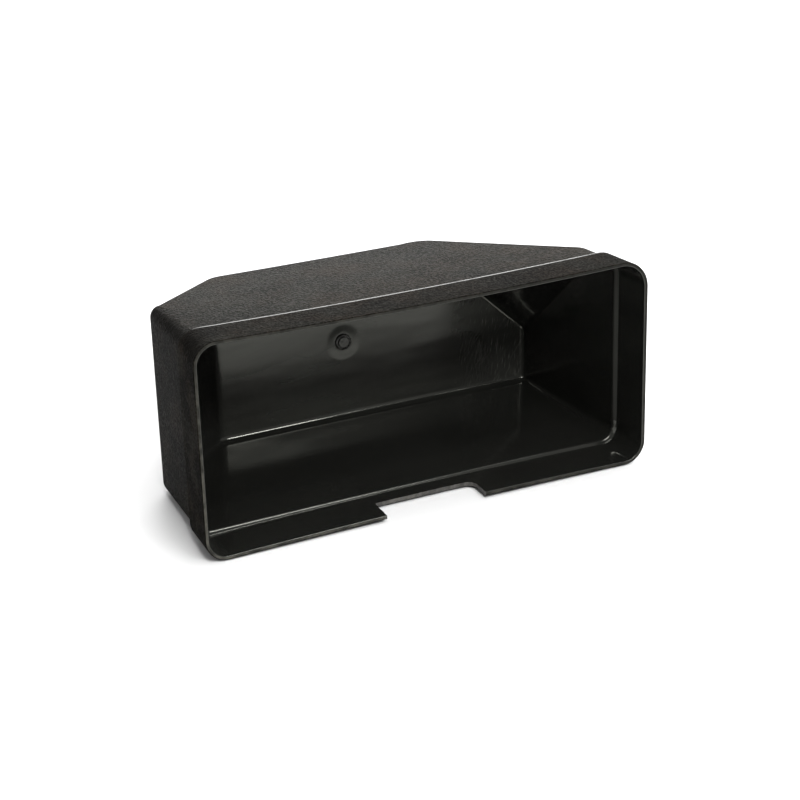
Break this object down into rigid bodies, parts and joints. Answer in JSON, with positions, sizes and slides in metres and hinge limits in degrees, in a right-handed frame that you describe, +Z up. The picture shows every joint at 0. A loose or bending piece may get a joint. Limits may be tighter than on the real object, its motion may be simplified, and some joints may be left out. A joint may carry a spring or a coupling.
{
  "type": "open housing tub",
  "caption": "Open-front moulded plastic housing with a proud collar, a notched lower lip, cut rear corners and a push rivet in its back wall.",
  "frame": {"origin": "on the ground under the middle of the part's box, as the housing stands on the rear lower edges of its collar and of its body", "axes": "+X to the right seen from the open front, +Y into the depth, +Z up; the rim plane leans back 4.4 degrees"},
  "size_m": [0.29, 0.1458, 0.1324],
  "materials": {
    "shell": "black, fine haircell grain outside, smooth and glossy inside",
    "rivet_body": "black, smooth",
    "rivet_pin": "dark grey, smooth, slightly dull"
  },
  "bodies": {
    "housing": {"housing_shell": "shell", "rivet_body": "rivet_body"},
    "pin": {"rivet_pin": "rivet_pin"}
  },
  "joints": [
    {"name": "rivet_pin_slide", "type": "slide", "parent": "housing", "child": "pin", "axis": [0, -0.9971, 0.0763], "range_m": [0, 0.006]}
  ]
}
